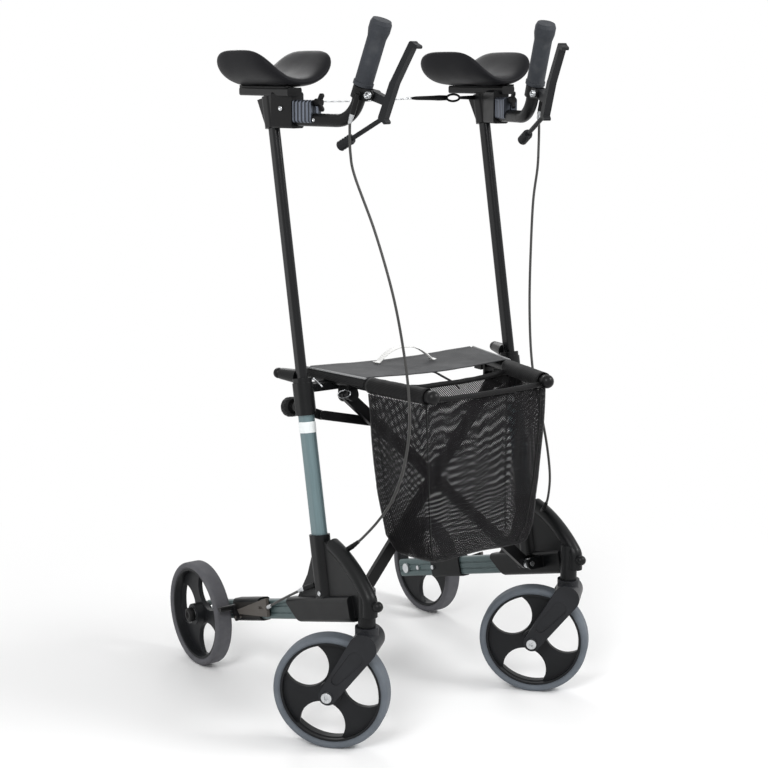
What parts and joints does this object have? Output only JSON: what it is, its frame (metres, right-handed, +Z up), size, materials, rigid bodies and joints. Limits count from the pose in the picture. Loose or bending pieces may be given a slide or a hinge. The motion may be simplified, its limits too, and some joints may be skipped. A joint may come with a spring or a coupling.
{
  "type": "upright walker",
  "caption": "Folding upright walker with forearm pads on telescopic posts, hand grips with brake levers, seat, basket, swivel casters and braked rear wheels.",
  "frame": {"origin": "on the floor, under the middle of the bounding box", "axes": "+Z up, -Y the walking direction, +X the user's left"},
  "size_m": [0.634, 0.6698, 1.2138],
  "materials": {
    "tube": "satin grey-green anodised",
    "black_plastic": "fine moulded grain",
    "fork_plastic": "fine moulded grain",
    "rim": "satin moulded",
    "black_metal": "black powder coat",
    "bright_metal": "cast, satin",
    "steel": "zinc plated",
    "cable": "smooth sheath",
    "pad": "semi-gloss foam skin",
    "grip": "soft matt",
    "dark_tyre": "matt",
    "grey_tyre": "matt",
    "seat_cloth": "woven mesh",
    "white_webbing": "webbing",
    "basket_cloth": "coated weave",
    "wire": "stranded"
  },
  "bodies": {
    "right_frame": {"right_lower_tube": "tube", "right_upright": "tube", "right_bridge": "black_plastic", "right_collar": "black_plastic", "right_frame_fittings": "steel", "right_brake_housing": "black_plastic", "right_brake_cable": "cable"},
    "right_mast": {"right_post": "black_metal", "right_post_head": "black_plastic", "right_forearm_pad": "pad", "right_bar_clamp": "bright_metal", "tether_wire": "wire", "tether_hook": "black_plastic"},
    "right_handle": {"right_handle_bar": "black_metal", "right_hand_grip": "grip", "right_brake_bracket": "black_plastic"},
    "right_lever": {"right_brake_lever": "black_plastic"},
    "right_knob": {"right_height_knob": "black_plastic"},
    "right_wing": {"right_wing_screw": "black_plastic"},
    "right_rear_wheel": {"right_rear_tyre": "dark_tyre", "right_rear_rim": "rim"},
    "right_brake": {"right_brake_shoe": "black_metal"},
    "right_caster": {"right_fork": "fork_plastic", "right_caster_axle": "steel"},
    "right_caster_wheel": {"right_caster_tyre": "grey_tyre", "right_caster_rim": "rim"},
    "right_rail": {"right_seat_rail": "black_metal", "seat_fabric": "seat_cloth", "seat_strap": "white_webbing", "basket": "basket_cloth"},
    "right_link": {"right_stay_link": "black_metal"},
    "right_bar": {"right_cross_bar": "black_metal"},
    "left_frame": {"left_lower_tube": "tube", "left_upright": "tube", "left_bridge": "black_plastic", "left_collar": "black_plastic", "left_frame_fittings": "steel", "left_brake_housing": "black_plastic", "left_brake_cable": "cable"},
    "left_mast": {"left_post": "black_metal", "left_post_head": "black_plastic", "left_forearm_pad": "pad", "left_bar_clamp": "bright_metal"},
    "left_handle": {"left_handle_bar": "black_metal", "left_hand_grip": "grip", "left_brake_bracket": "black_plastic"},
    "left_lever": {"left_brake_lever": "black_plastic"},
    "left_knob": {"left_height_knob": "black_plastic"},
    "left_wing": {"left_wing_screw": "black_plastic"},
    "left_rear_wheel": {"left_rear_tyre": "dark_tyre", "left_rear_rim": "rim"},
    "left_brake": {"left_brake_shoe": "black_metal"},
    "left_caster": {"left_fork": "fork_plastic", "left_caster_axle": "steel"},
    "left_caster_wheel": {"left_caster_tyre": "grey_tyre", "left_caster_rim": "rim"},
    "left_rail": {"left_seat_rail": "black_metal"},
    "left_link": {"left_stay_link": "black_metal"},
    "left_bar": {"left_cross_bar": "black_metal"}
  },
  "joints": [
    {"name": "fold", "type": "hinge", "parent": "right_frame", "child": "right_bar", "pos_m": [-0.16627, -0.19514, 0.232], "axis": [0, -0.981, 0.1942], "range_deg": [0, 30], "deforming": ["seat_fabric", "seat_strap", "basket", "tether_wire", "tether_hook"]},
    {"name": "scissor", "type": "hinge", "parent": "right_bar", "child": "left_bar", "pos_m": [0.02373, -0.15756, 0.42177], "axis": [0, -0.981, 0.1942], "range_deg": [-60.5, 0]},
    {"name": "left_foot", "type": "hinge", "parent": "left_bar", "child": "left_frame", "pos_m": [0.21373, -0.19514, 0.232], "axis": [0, -0.981, 0.1942], "range_deg": [0, 30.5]},
    {"name": "left_rail_turn", "type": "hinge", "parent": "right_bar", "child": "left_rail", "pos_m": [0.18215, -0.12623, 0.58], "axis": [0, -0.981, 0.1942], "range_deg": [-30.5, 0]},
    {"name": "right_rail_turn", "type": "hinge", "parent": "left_bar", "child": "right_rail", "pos_m": [-0.1347, -0.12623, 0.58], "axis": [0, -0.981, 0.1942], "range_deg": [0, 30.5]},
    {"name": "right_link_turn", "type": "hinge", "parent": "right_frame", "child": "right_link", "pos_m": [-0.17627, -0.13199, 0.55091], "axis": [0, -0.981, 0.1942], "range_deg": [0, 79.36]},
    {"name": "left_link_turn", "type": "hinge", "parent": "left_frame", "child": "left_link", "pos_m": [0.22373, -0.13199, 0.55091], "axis": [0, -0.981, 0.1942], "range_deg": [-79.36, 0]},
    {"name": "right_height", "type": "slide", "parent": "right_frame", "child": "right_mast", "axis": [0, 0.1942, 0.981], "range_m": [-0.14, 0.1], "deforming": ["right_brake_cable"]},
    {"name": "right_reach", "type": "slide", "parent": "right_mast", "child": "right_handle", "axis": [0.2588, -0.9659, 0], "range_m": [0, 0.035]},
    {"name": "right_squeeze", "type": "hinge", "parent": "right_handle", "child": "right_lever", "pos_m": [-0.14937, -0.22792, 1.09032], "axis": [-0.9659, -0.2588, 0], "range_deg": [-12, 20], "stiffness_Nm_per_rad": 4},
    {"name": "right_press", "type": "hinge", "parent": "right_frame", "child": "right_brake", "pos_m": [-0.20627, 0.11832, 0.12201], "axis": [-1, 0, 0], "range_deg": [-8, 13]},
    {"name": "right_knob_turn", "type": "hinge", "parent": "right_frame", "child": "right_knob", "pos_m": [-0.20327, -0.05634, 0.55516], "axis": [0, 0.981, -0.1942], "continuous": true},
    {"name": "right_wing_turn", "type": "hinge", "parent": "right_mast", "child": "right_wing", "pos_m": [-0.18163, -0.10753, 1.07726], "axis": [0.2588, -0.9659, 0], "continuous": true},
    {"name": "right_rear_roll", "type": "hinge", "parent": "right_frame", "child": "right_rear_wheel", "pos_m": [-0.24527, 0.23486, 0.1], "axis": [1, 0, 0], "continuous": true},
    {"name": "right_swivel", "type": "hinge", "parent": "right_frame", "child": "right_caster", "pos_m": [-0.19727, -0.27714, 0.1], "axis": [0, 0, 1], "continuous": true},
    {"name": "right_caster_roll", "type": "hinge", "parent": "right_caster", "child": "right_caster_wheel", "pos_m": [-0.23888, -0.23252, 0.1], "axis": [0.7314, 0.682, 0], "continuous": true},
    {"name": "left_height", "type": "slide", "parent": "left_frame", "child": "left_mast", "axis": [0, 0.1942, 0.981], "range_m": [-0.14, 0.1], "deforming": ["left_brake_cable"]},
    {"name": "left_reach", "type": "slide", "parent": "left_mast", "child": "left_handle", "axis": [-0.2588, -0.9659, 0], "range_m": [0, 0.035]},
    {"name": "left_squeeze", "type": "hinge", "parent": "left_handle", "child": "left_lever", "pos_m": [0.19682, -0.22792, 1.09032], "axis": [-0.9659, 0.2588, 0], "range_deg": [-12, 20], "stiffness_Nm_per_rad": 4},
    {"name": "left_press", "type": "hinge", "parent": "left_frame", "child": "left_brake", "pos_m": [0.25373, 0.11832, 0.12201], "axis": [-1, 0, 0], "range_deg": [-8, 13]},
    {"name": "left_knob_turn", "type": "hinge", "parent": "left_frame", "child": "left_knob", "pos_m": [0.25073, -0.05634, 0.55516], "axis": [0, 0.981, -0.1942], "continuous": true},
    {"name": "left_wing_turn", "type": "hinge", "parent": "left_mast", "child": "left_wing", "pos_m": [0.22908, -0.10753, 1.07726], "axis": [-0.2588, -0.9659, 0], "continuous": true},
    {"name": "left_rear_roll", "type": "hinge", "parent": "left_frame", "child": "left_rear_wheel", "pos_m": [0.29273, 0.23486, 0.1], "axis": [1, 0, 0], "continuous": true},
    {"name": "left_swivel", "type": "hinge", "parent": "left_frame", "child": "left_caster", "pos_m": [0.24473, -0.27714, 0.1], "axis": [0, 0, 1], "continuous": true},
    {"name": "left_caster_roll", "type": "hinge", "parent": "left_caster", "child": "left_caster_wheel", "pos_m": [0.20312, -0.23252, 0.1], "axis": [0.7314, 0.682, 0], "continuous": true}
  ],
  "couplings": [
    {"joint": "scissor", "follows": "fold", "ratio": -2},
    {"joint": "left_foot", "follows": "fold", "ratio": 1},
    {"joint": "left_rail_turn", "follows": "fold", "ratio": -1},
    {"joint": "right_rail_turn", "follows": "fold", "ratio": 1},
    {"joint": "right_link_turn", "follows": "fold", "ratio": 2.6288},
    {"joint": "left_link_turn", "follows": "fold", "ratio": -2.6288},
    {"joint": "right_press", "follows": "right_squeeze", "ratio": 0.63},
    {"joint": "left_press", "follows": "left_squeeze", "ratio": 0.63}
  ]
}
